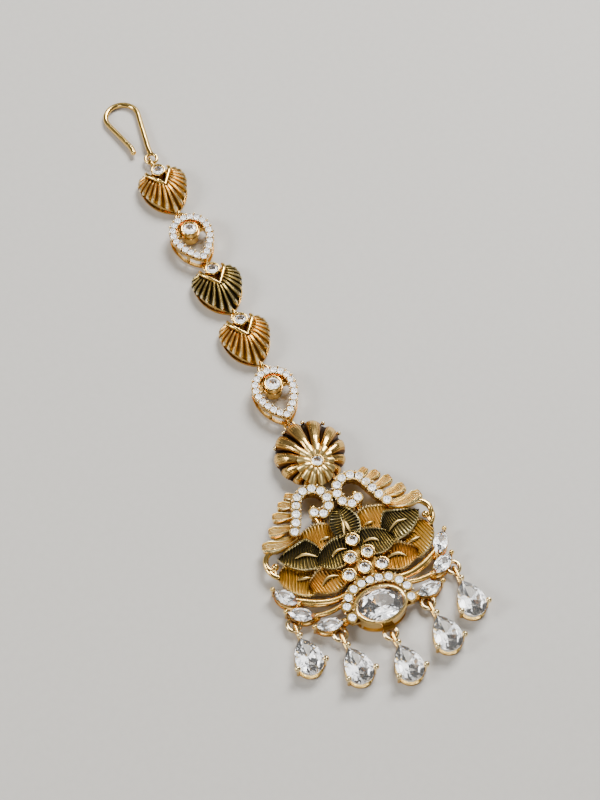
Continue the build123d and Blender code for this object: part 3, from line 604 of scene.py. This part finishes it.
def flower():
    """The petals as one sheet round the hub, closed behind."""
    piece, across, out = grid(PETALS * 40, 44)
    angle = np.radians(FIRST_FOLD) + 2 * np.pi * across
    past, radius, height = flow(FLOWER_DOME, out).T
    back = np.abs(2 * ((across * PETALS) % 1) - 1)
    round_back = np.sqrt(np.clip(1 - (back / 0.68) ** 2, 0, 1))
    radius = radius * (0.985 + 0.06 * np.clip(out - 0.5, 0, 1) / 0.5 * round_back)
    reach = past * np.sin(angle) + np.sqrt(np.clip(radius ** 2 - (past * np.cos(angle)) ** 2, 0, None))
    swell = 0.85 * np.clip((reach - 1.6) / 2.9, 0, 1) ** 0.8 * (1 - 0.6 * np.clip(out - 0.85, 0, 1) / 0.15)
    line = 0.04 * np.cos(2 * np.pi * 4.5 * back) * np.clip((reach - 2.4) / 2, 0, 1) * (round_back > 0.2)
    reshape(piece, np.column_stack([reach * np.cos(angle), reach * np.sin(angle),
                                    height + swell * round_back + line]), crest=0.95 * round_back + 4 * line)
    apply(piece, "SOLIDIFY", thickness=0.3, offset=-1)
    return piece


ROSETTE_PETALS = 13
# round the hub from the right: how far the rosette reaches, and the height of its edge
ROSETTE_EDGE = [(2.45, 3.85), (2.7, 3.95), (2.9, 3.95), (2.95, 3.95), (2.95, 3.95), (3.0, 3.6), (3.1, 2.9),
                (3.2, 2.5), (3.3, 2.4), (3.1, 2.8), (2.7, 3.4), (2.45, 3.85)]


def rosette():
    """The small petals round the hub; those nearest the pendant droop over the rim."""
    piece, across, out = grid(ROSETTE_PETALS * 16, 30)
    angle = 2 * np.pi * across
    edge, low = flow(ROSETTE_EDGE, across).T
    back = np.abs(2 * ((across * ROSETTE_PETALS) % 1) - 1)
    round_back = np.sqrt(np.clip(1 - (back / 0.88) ** 2.2, 0, 1))
    reach = 0.85 + (edge * (0.80 + 0.22 * round_back) - 0.85) * out
    height = 4.12 + (low - 4.12) * out ** 1.8 + 0.42 * round_back * np.clip(out * 2, 0, 1)
    reshape(piece, np.column_stack([reach * np.cos(angle), reach * np.sin(angle), height]),
            crest=0.1 + 0.9 * round_back)
    apply(piece, "SOLIDIFY", thickness=0.22, offset=-1)
    return piece


# Dark stops paint shade in the folds between petals over the patina; the palest stops are a painted highlight
# on the petals' backs.
petal_gold = antique_gold(
    "antique_gold_petals", [(0.0, "1E1006"), (0.45, "5E3A14"), (0.75, "AC7A34"), (0.98, "F2C878")], 0.22)
pale_gold = antique_gold(
    "pale_gold_rosette", [(0.1, "2E1C06"), (0.4, "9A7230"), (0.7, "D2AA5A"), (0.95, "F4D48C")], 0.32)
polished_copy("flower_link", bright_gold)
for name in ("link_ring_left", "link_ring_right"):
    polished_copy(name, bright_gold)
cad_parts["flower_stone"].material_slots[0].material = clear_zirconia
# each ball on the rim: its distance from the hub, and its direction
FOLD_BALLS = [(8.55, 84), (8.2, 62), (7.2, 40), (8.25, 108), (7.5, 130), (6.0, 151)]
FOLD_BALL, FOLD_BALL_HEIGHT = 0.36, 1.75
HUB_CLAWS, HUB_CLAW, HUB_CLAW_REACH, HUB_CLAW_HEIGHT = (45, 135, 225, 315), 0.15, 0.92, 4.58


def round_hub(places, height):
    """Places given by their distance from the hub and their direction, all at one height."""
    return [(r * math.cos(math.radians(a)), r * math.sin(math.radians(a)), height, 1) for r, a in places]


ball_places = round_hub(FOLD_BALLS, FOLD_BALL_HEIGHT)
claw_spots = round_hub([(HUB_CLAW_REACH, angle) for angle in HUB_CLAWS], HUB_CLAW_HEIGHT)
disc = cup(0.8, 3.5, 3.66, 0.02, 0.02, 32)
put(disc, hub)
keep(disc, "flower_hub_disc", bright_rhodium)
for word, make, metal in (("petals", flower, petal_gold), ("rosette", rosette, pale_gold),
                          ("fold_balls", lambda: scattered(ball(FOLD_BALL, 16, 10), ball_places), bead_gold),
                          ("hub_claws", lambda: scattered(ball(HUB_CLAW), claw_spots), bright_gold),
                          ("hub_lip", lambda: ring(0.95, 0.10, 4.56), bright_gold)):
    piece = make()
    weld(piece)
    put(piece, hub)
    keep(piece, f"flower_{word}", metal, 50)

# ---- crest: necks and feathers -------------------------------------------------------------------
# Two paved necks curl in towards each other, and five cast feathers stand out behind each. A feather
# is a dish of dull gold with fine lines along it, and a ridge runs along its front edge; the ridge is
# painted bright, partly as polish and partly as a painted highlight, and the feather's low sides are
# painted shade.
pendant = below(centre("oval_stone")) - Vector((0, 0.5, 0)) * MM
SIDES = {"left": -1, "right": 1}
NECK_STONES = [(7.6, 16.3), (6.85, 17.65), (6.3, 19.0), (5.8, 20.35), (5.15, 21.6), (3.95, 22.3),
               (2.5, 22.25), (1.35, 21.4), (0.85, 20.0), (1.15, 18.55), (2.35, 17.65), (3.6, 18.3)]
FEATHER_SPINES = [
    [(4.85, 21.95, 0.3), (5.5, 22.2, 0.5), (6.1, 22.4, 0.65), (6.5, 22.6, 0.6), (6.9, 22.9, 0)],
    [(5.5, 20.55, 0.3), (6.4, 20.85, 0.5), (7.3, 21.2, 0.75), (7.9, 21.4, 0.75), (8.45, 21.65, 0)],
    [(6.2, 19.05, 0.3), (7.3, 19.25, 0.5), (8.5, 19.6, 0.8), (9.3, 19.85, 0.8), (9.9, 20.0, 0)],
    [(6.9, 17.3, 0.3), (8.2, 17.35, 0.5), (9.6, 17.45, 0.8), (10.6, 17.7, 0.9), (11.3, 17.8, 0)],
    [(7.4, 15.7, 0.35), (9.0, 15.15, 0.55), (10.8, 15.2, 0.85), (12.2, 15.6, 0.95), (13.15, 15.75, 0)],
]
# round a feather's section: across it from the back edge, its height, and how bright it is: high on
# the ridge, polish with a painted highlight; low on the sides, painted shade
FEATHER_SECTION = [(1.0, 1.45, 0.2), (1.02, 2.1, 0.3), (1.0, 2.48, 0.9), (0.9, 2.5, 0.9), (0.78, 2.3, 0.45),
                   (0.2, 2.2, 0.5), (-0.35, 2.26, 0.5), (-0.55, 2.5, 0.8), (-0.75, 2.76, 1.0),
                   (-0.95, 2.66, 1.0), (-1.1, 2.2, 0.5), (-1.05, 1.7, 0.35), (-0.95, 1.45, 0.2)]


def heading(points, t, step):
    """The direction, one unit long, of a smooth line through the given points."""
    ahead = flow(points, np.clip(t + step, 0, 1))[:, :2] - flow(points, np.clip(t - step, 0, 1))[:, :2]
    return ahead / np.linalg.norm(ahead, axis=1)[:, None]


def feather(spine):
    """One feather: its section drawn along the spine and rounded off at the tip."""
    piece, along, around = grid(36, 150)
    x, y, half = flow(spine, along).T
    ahead = heading(spine, along, 0.02)
    blunt = np.sqrt(np.clip(1 - np.clip((along - 0.8) / 0.2, 0, 1) ** 3, 0, 1))
    start = np.sqrt(np.clip(along / 0.03, 0, 1))
    fullest = spine[3][2]
    half = np.maximum(half, 0.9 * np.interp(along, [0, 0.75, 1], [0, fullest, fullest])) * blunt * start
    section = np.vstack([FEATHER_SECTION, FEATHER_SECTION[:1]])
    spans = np.where(np.isin(np.arange(len(section) - 1), (4, 5)), 6.0, 1.0)
    knots = np.concatenate([[0], np.cumsum(spans)]) / spans.sum()
    aside, height, wear_and_painted_shade = (np.interp(around, knots, column) for column in section.T)
    dish = np.clip(1 - np.abs(aside - 0.2) / 0.55, 0, 1) * (height > 2)
    line = np.minimum(1, dish * 3) * np.cos(2 * np.pi * 4 * aside)
    height = height + 0.045 * line
    wear_and_painted_shade = wear_and_painted_shade + 0.3 * line
    close = blunt * start
    height = 2.0 + (height - 2.0) * close
    reshape(piece, np.column_stack([x - ahead[:, 1] * aside * half, y + ahead[:, 0] * aside * half, height]),
            crest=wear_and_painted_shade)
    return piece


def mirrored(piece, side):
    """The same piece for the other half of the pendant."""
    if side < 0:
        piece.data.transform(Matrix.Scale(-1, 4, (1, 0, 0)))
    return piece


NECK_LINE = [(7.95, 16.0)] + NECK_STONES[1:]
NECK_STONE = 0.63


def neck_wall(side):
    """The plain wall under a neck's stones: a rounded oblong section drawn along the neck."""
    piece, along, around = grid(90, 8)
    line, ahead = flow(NECK_LINE, along), heading(NECK_LINE, along, 0.005)
    corner = 2 * np.pi * around
    squared = np.sign(np.cos(corner)) * np.abs(np.cos(corner)) ** 0.4
    aside = 0.30 * squared * (np.sin(np.pi * along) > 0.001)
    x, y = line[:, 0] - ahead[:, 1] * aside, line[:, 1] + ahead[:, 0] * aside
    height = 1.25 + 0.82 * np.sin(corner)
    # the whole wall is marked low, so it takes the darker tones of its finish: painted shade on a side wall
    reshape(piece, np.column_stack([side * x, y, height]), crest=np.full(len(along), 0.25))
    return piece


# the stem under a beak, then the curl at a shoulder: places along each, and its radius there
BEAK_STEM = [((3.45, 18.2, 2.0), 0.60), ((3.4, 17.6, 2.0), 0.56), ((3.3, 17.1, 1.95), 0.52),
             ((3.25, 16.5, 1.9), 0.50)]
SHOULDER = [((11.2, 14.9, 2.0), 0.44), ((12.5, 14.75, 2.1), 0.43), ((13.4, 13.9, 2.0), 0.42),
            ((13.6, 12.7, 1.9), 0.41), ((13.2, 11.95, 1.85), 0.40), ((12.5, 11.9, 1.85), 0.40)]
BEAK_BEAD = dict(place=(3.45, 19.25, 2.5), radius=0.45)
SHOULDER_BALL = dict(place=(12.3, 12.2, 2.1), radius=0.56)


def wire_on(side, row):
    """A wire on one half of the pendant."""
    return bar([(side * x, y, z) for (x, y, z), _ in row], [radius for _, radius in row])


def ball_on(side, place, radius):
    """A ball on one half of the pendant."""
    x, y, z = place
    return scattered(ball(radius, 20, 12), [(side * x, y, z, 1)])


# Low stops are painted shade on the feathers' sides and the neck walls; the top stop is a painted highlight.
feather_gold = antique_gold(
    "antique_gold_feathers", [(0.05, "966A26"), (0.25, "BC9040"), (0.5, "E6BE68"), (0.85, "FFEDB4")], 0.26)
polished_copy("pendant_frame", bright_gold)
for word, side in SIDES.items():
    neck_stones = [(side * x, y) for x, y in NECK_STONES]
    paving(f"neck_{word}", neck_stones, NECK_STONE, pendant, rim=0.2)
    wall = neck_wall(side)
    weld(wall)
    put(wall, pendant)
    keep(wall, f"neck_wall_{word}", feather_gold, 50)
    stem = wire_on(side, BEAK_STEM)
    put(stem, pendant)
    keep(stem, f"beak_stem_{word}", bright_gold, 60)
    bead = ball_on(side, **BEAK_BEAD)
    put(bead, pendant)
    keep(bead, f"beak_bead_{word}", bright_gold, 180)
    for number, spine in enumerate(FEATHER_SPINES, start=1):
        piece = mirrored(feather(spine), side)
        weld(piece)
        put(piece, pendant)
        keep(piece, f"feather_{word}_{number}", feather_gold, 50)
    curl = joined([wire_on(side, SHOULDER), ball_on(side, **SHOULDER_BALL)])
    put(curl, pendant)
    keep(curl, f"shoulder_curl_{word}", bright_gold, 60)

# ---- leaves --------------------------------------------------------------------------------------
# Eleven leaves fan out below the crest in three storeys, cast with fine ribs across them. Oxidising left
# the upper ones nearly black between their ribs; the lower and the back ones stay gold. A smooth spindle
# stands for each leaf's vein. In a row: the two edges, point for point where one rib meets them.
LEAVES = [
    dict(name="outer", foot=1.8, top=2.36, lift=0.0, finish="black",
         lower=[(5.4, 10.6), (6.1, 9.6), (7.0, 9.35), (8.7, 9.8), (10.0, 10.7), (11.0, 11.8), (11.6, 13.1)],
         upper=[(5.0, 12.6), (5.6, 13.9), (6.4, 14.95), (7.1, 14.85), (8.3, 14.45), (9.8, 13.95),
                (11.6, 13.1)],
         vein=[(5.8, 11.26), (6.76, 11.98), (7.59, 12.38), (8.25, 12.37), (9.19, 12.24)]),
    dict(name="inner", foot=2.1, top=2.66, lift=0.0, finish="black",
         lower=[(0.6, 9.0), (1.8, 8.5), (3.0, 8.1), (4.2, 8.15), (5.2, 8.6), (6.0, 9.4), (6.3, 10.5)],
         upper=[(0.2, 12.6), (1.2, 13.2), (2.4, 13.35), (3.4, 13.05), (4.4, 12.5), (5.4, 11.75), (6.3, 10.5)],
         vein=[(1.33, 10.81), (2.2, 11.07), (2.92, 10.97), (3.54, 10.6), (3.81, 10.2)]),
    dict(name="lower_inner", foot=1.5, top=2.06, lift=0.0, finish="brown",
         lower=[(2.6, 6.4), (3.6, 5.45), (5.3, 4.8), (6.8, 5.2), (8.2, 5.95), (8.95, 6.9)],
         upper=[(2.9, 7.6), (4.6, 8.9), (6.3, 9.6), (7.7, 8.8), (8.6, 7.9), (8.95, 6.9)],
         vein=[(3.95, 7.34), (4.73, 7.63), (5.61, 7.64), (6.32, 7.25), (6.85, 6.68)]),
    dict(name="lower_outer", foot=1.2, top=1.76, lift=0.0, finish="gold",
         lower=[(7.4, 7.0), (8.2, 5.95), (9.3, 5.85), (10.4, 6.35), (11.4, 7.2), (12.25, 8.5), (12.75, 10.2)],
         upper=[(6.6, 9.0), (7.0, 10.0), (7.6, 10.6), (8.4, 11.2), (9.6, 11.7), (10.9, 12.0), (12.0, 11.3)],
         vein=[(7.91, 8.65), (8.79, 8.9), (10.05, 9.01)]),
    dict(name="back", foot=1.3, top=2.05, lift=0.5, finish="orange",
         lower=[(2.4, 13.4), (3.4, 12.8), (4.6, 12.2), (5.6, 12.4), (6.6, 13.4), (7.15, 14.6)],
         upper=[(2.2, 15.6), (2.9, 16.3), (4.2, 16.6), (5.4, 16.35), (6.6, 15.95), (7.15, 15.2)],
         vein=[(2.77, 13.75), (3.55, 13.75), (4.34, 13.8)]),
]
# the top leaf's half: points along its crease from the root, and the edge points of the same ribs
TOP_CREASE = [(-0.85, 12.2), (-0.6, 13.2), (-0.3, 14.2), (-0.1, 15.2), (0.0, 16.2), (0.0, 17.1), (0.0, 17.7)]
TOP_EDGE = {
    "left": [(-1.0, 12.0), (-1.95, 12.9), (-2.4, 14.2), (-2.4, 15.4), (-1.75, 16.8), (-0.8, 17.5),
             (0, 17.78)],
    "right": [(1.0, 12.0), (1.9, 12.9), (2.4, 14.2), (2.35, 15.5), (1.65, 16.85), (0.8, 17.5), (0, 17.78)],
}
TOP_VEINS = [[(-0.1, 15.5), (-0.46, 14.15), (-0.72, 12.9)], [(-0.02, 15.5), (0.19, 14.35), (0.28, 12.96)]]
RIB_PITCH = 0.40
satin_gold = gold_plate("satin_gold_plate", [(0.25, "5C4218"), (0.60, "A88846"), (0.95, "D8B976")], 0.36)
# Dark stops are the oxide between the ribs and painted shade there; the palest stops are a painted highlight
# on the rib crests.
leaf_finishes = {
    "black": antique_gold(
        "oxidised_gold", [(0.05, "2E2611"), (0.30, "5A4A22"), (0.58, "BCA462"), (0.88, "FFF0BE")], 0.24,
        aged=[(0.05, "17140C"), (0.30, "352E1A"), (0.58, "968452"), (0.88, "EEDDA8")]),
    "brown": antique_gold(
        "antique_gold_brown", [(0.05, "70480F"), (0.28, "A07A34"), (0.55, "DAB25C"), (0.85, "FFE8AC")], 0.24,
        aged=[(0.05, "5C3A12"), (0.28, "906228"), (0.55, "C4944C"), (0.85, "F2D092")]),
    "gold": antique_gold(
        "antique_gold_yellow", [(0.05, "604312"), (0.28, "9C7834"), (0.55, "DCBA68"), (0.85, "FFEFBC")], 0.24,
        aged=[(0.05, "66460E"), (0.28, "966E2C"), (0.55, "CCA254"), (0.85, "F8D896")]),
    "orange": antique_gold(
        "antique_gold_orange", [(0.05, "80561A"), (0.28, "B4883C"), (0.55, "E0B866"), (0.85, "FFEAB0")], 0.24,
        aged=[(0.05, "80581C"), (0.28, "AC7E34"), (0.55, "D2A656"), (0.85, "F6D594")]),
}


def leaf(lower, upper, foot, top, rim=0.24, dull=0.35, lift=0.0):
    """A ribbed leaf between two edges, slightly dished, with a flat underside at the height foot.
    Its upper edge may be lifted. Its ribs are brightest at the lower edge, and duller above."""
    length = np.hypot(*np.diff((np.array(lower) + np.array(upper)) / 2, axis=0).T).sum()
    ribs = round(length / RIB_PITCH)
    piece, along, up = grid(ribs * 8, 26)
    wave = 0.5 + 0.5 * np.cos(2 * np.pi * ribs * along)
    rib = wave ** 3.2
    share = 0.5 + (up - 0.5) * (0.94 + 0.06 * rib)
    flat = flow(lower, along) * (1 - share[:, None]) + flow(upper, along) * share[:, None]
    edge = np.abs(2 * up - 1)
    teeth = np.clip((edge - 0.88) / 0.12, 0, 1)
    dish = rim * edge ** 6 + 0.10 * teeth * rib
    height = top + lift * up + dish + (0.20 - 0.06 * edge) * rib
    crest = np.maximum(rib * (1 - dull * up), np.clip((edge - 0.86) / 0.06, 0, 1))
    reshape(piece, np.column_stack([flat, height]), crest=crest, age=1.6 * up - 0.25)
    count = len(piece.data.vertices)
    apply(piece, "SOLIDIFY", thickness=0.4, offset=-1)
    spots = np.array([v.co for v in piece.data.vertices])
    spots[count:, :2], spots[count:, 2] = spots[:count, :2], foot
    reshape(piece, spots)
    return piece


def vein(points, height, widest=0.29):
    """The raised spindle along a leaf's middle."""
    shares = np.linspace(0, 1, 7)
    line = flow(points, shares)
    radii = [0.04 + (widest - 0.04) * math.sin(math.pi * share) ** 0.8 for share in shares]
    return bar([(x, y, height) for x, y in line], radii)


for word, side in SIDES.items():
    for row in LEAVES:
        piece = mirrored(leaf(row["lower"], row["upper"], row["foot"], row["top"], lift=row["lift"]), side)
        weld(piece)
        put(piece, pendant)
        keep(piece, f"leaf_{row['name']}_{word}", leaf_finishes[row["finish"]], 60)
        piece = mirrored(vein(row["vein"], row["top"] + 0.22 + row["lift"] / 2), side)
        weld(piece)
        put(piece, pendant)
        keep(piece, f"vein_{row['name']}_{word}", satin_gold, 60)
    piece = leaf(TOP_CREASE, TOP_EDGE[word], foot=2.3, top=2.86, dull=0.15)
    weld(piece)
    put(piece, pendant)
    keep(piece, f"leaf_top_{word}", leaf_finishes["black"], 60)
top_vein = joined([vein(points, height=3.1) for points in TOP_VEINS])
put(top_vein, pendant)
keep(top_vein, "vein_top", satin_gold, 60)

# ---- cluster -------------------------------------------------------------------------------------
# Six round cups stand in a triangle over the leaves. Each lip is milled into a ring of fine grains.
CLUSTER_LIP = dict(radius=0.98, wire=0.15, height=3.45)
GRAINS, GRAIN, GRAIN_REACH, GRAIN_HEIGHT = 26, 0.09, 1.08, 3.48
steps = [2 * math.pi * number / GRAINS for number in range(GRAINS)]
grains = [(GRAIN_REACH * math.cos(a), GRAIN_REACH * math.sin(a), GRAIN_HEIGHT, 1) for a in steps]
for number in range(1, 7):
    stone = f"cluster_stone_{number}"
    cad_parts[stone].material_slots[0].material = clear_zirconia
    lip = joined([ring(**CLUSTER_LIP), scattered(ball(GRAIN, 8, 6), grains)])
    put(lip, below(centre(stone)))
    keep(lip, f"cluster_lip_{number}", bright_gold, 60)

# ---- oval stone and its halo ---------------------------------------------------------------------
# The oval sits in a plain polished bezel. Small stones in bead settings run round its upper side.
HALO_RIGHT = [(4.75, 0.05), (4.85, 1.95), (4.1, 3.2), (2.85, 4.25), (1.4, 4.65)]
HALO_STONE = 0.60
halo_stones = HALO_RIGHT + [(0, 4.75)] + [(-x, y) for x, y in HALO_RIGHT[::-1]]
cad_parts["oval_stone"].material_slots[0].material = clear_zirconia
paving("halo", halo_stones, HALO_STONE, pendant, rim=0.24)
BEZEL_HALF_WIDTH, BEZEL_HALF_LENGTH, BEZEL_TOP, BEZEL_WIRE = 3.74, 2.74, 3.12, 0.16
bezel = ring(1, BEZEL_WIRE, 0, 96)
spots = np.array([v.co for v in bezel.data.vertices])
turn = np.arctan2(spots[:, 1], spots[:, 0])
out = np.hypot(spots[:, 0], spots[:, 1]) - 1
across, along = (BEZEL_HALF_WIDTH + out) * np.cos(turn), (BEZEL_HALF_LENGTH + out) * np.sin(turn)
reshape(bezel, np.column_stack([across, along, spots[:, 2] + BEZEL_TOP]))
put(bezel, below(centre("oval_stone")))
keep(bezel, "oval_bezel_lip", bead_gold, 60)

# ---- scroll wires --------------------------------------------------------------------------------
# Two round wires sweep from the halo out to the marquises on either side, the upper one thicker. They
# are hammered lightly and left satin.
hammered_gold = gold_plate("hammered_gold_wire", [(0.2, "A8621C"), (0.60, "D8A24A"), (0.95, "F2C872")], 0.24)
SCROLLS = [dict(radius=0.56, line=[(2.7, 4.85), (3.9, 4.2), (5.6, 4.0), (7.2, 4.2), (9.4, 4.95),
                                   (11.6, 6.4)]),
           dict(radius=0.42, line=[(4.0, 3.4), (5.9, 2.72), (7.6, 2.52), (9.0, 2.66), (10.2, 3.05)])]
SCROLL_HEIGHT, SCROLL_TAPER = 1.6, 0.8


def scroll(side, line, radius):
    """A wire on one half of the pendant, thinner at both ends."""
    radii = [radius * SCROLL_TAPER] + [radius] * (len(line) - 2) + [radius * SCROLL_TAPER]
    return bar([(side * x, y, SCROLL_HEIGHT) for x, y in line], radii)


for word, side in SIDES.items():
    wires = joined([scroll(side, row["line"], row["radius"]) for row in SCROLLS])
    weld(wires)
    put(wires, pendant)
    keep(wires, f"scroll_wires_{word}", hammered_gold, 60)

# ---- marquise and pear stones --------------------------------------------------------------------
# Six marquises flank the pendant, and five pears hang from it in open claw baskets.
# the right half's marquises: the middle of each, and its turn; then how far its claws stand from it
MARQUISES = [(8.05, 0.60, 9), (11.45, 3.65, 30), (12.60, 7.05, 52)]
MARQUISE_REACH, INNER_CLAW, OUTER_CLAW = 2.35, 0.6, 0.42
deep_gold = gold_plate("deep_gold_plate", [(0.25, "9C500E"), (0.60, "C8862A"), (0.95, "E2A844")], 0.24)
for number in range(1, 7):
    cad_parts[f"marquise_stone_{number}"].material_slots[0].material = clear_zirconia


def claw_places(side, reach, height):
    """The same end of every marquise on one half of the pendant."""
    places = []
    for x, y, turn in MARQUISES:
        lean = math.radians(turn)
        places.append((side * (x + reach * math.cos(lean)), y + reach * math.sin(lean), height, 1))
    return places


for word, side in SIDES.items():
    claws = scattered(ball(INNER_CLAW, 20, 12), claw_places(side, -MARQUISE_REACH, 1.45))
    put(claws, pendant)
    keep(claws, f"marquise_claws_{word}", deep_gold, 180)
    tips = scattered(ball(OUTER_CLAW, 16, 10), claw_places(side, MARQUISE_REACH, 2.1))
    put(tips, pendant)
    keep(tips, f"marquise_tips_{word}", bead_gold, 180)
# each pear: the middle of its round end, and its turn; then its claws, about that middle
PEARS = [(-12.95, -3.75, 0.5), (-6.62, -7.75, 4.0), (0.42, -10.05, 3.0), (7.58, -7.75, 3.5),
         (13.15, -3.95, 1.5)]
PEAR_CLAWS = [(-2.25, -0.64, 2.4), (2.25, -0.64, 2.4), (0, 4.2, 2.5)]
DROP_RINGS = [(-12.95, 2.85), (-7.1, -1.05), (0, -3.6), (7.1, -1.05), (12.95, 2.85)]
DROP_RING = dict(radius=0.975, wire=0.33, height=0.98)
PEAR_CLAW = 0.48
for number, (x, y, turn) in enumerate(PEARS, start=1):
    polished_copy(f"drop_setting_{number}", bright_gold)
    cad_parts[f"pear_stone_{number}"].material_slots[0].material = clear_zirconia
    tips = scattered(ball(PEAR_CLAW, 16, 10), [(*claw, 1) for claw in PEAR_CLAWS])
    put(tips, pendant + Vector((x, y, 0)) * MM, turn)
    keep(tips, f"drop_tips_{number}", bead_gold, 180)
    x, y = DROP_RINGS[number - 1]
    hanger = ring(**DROP_RING)
    put(hanger, pendant + Vector((x, y, 0)) * MM)
    keep(hanger, f"drop_ring_{number}", bead_gold, 60)
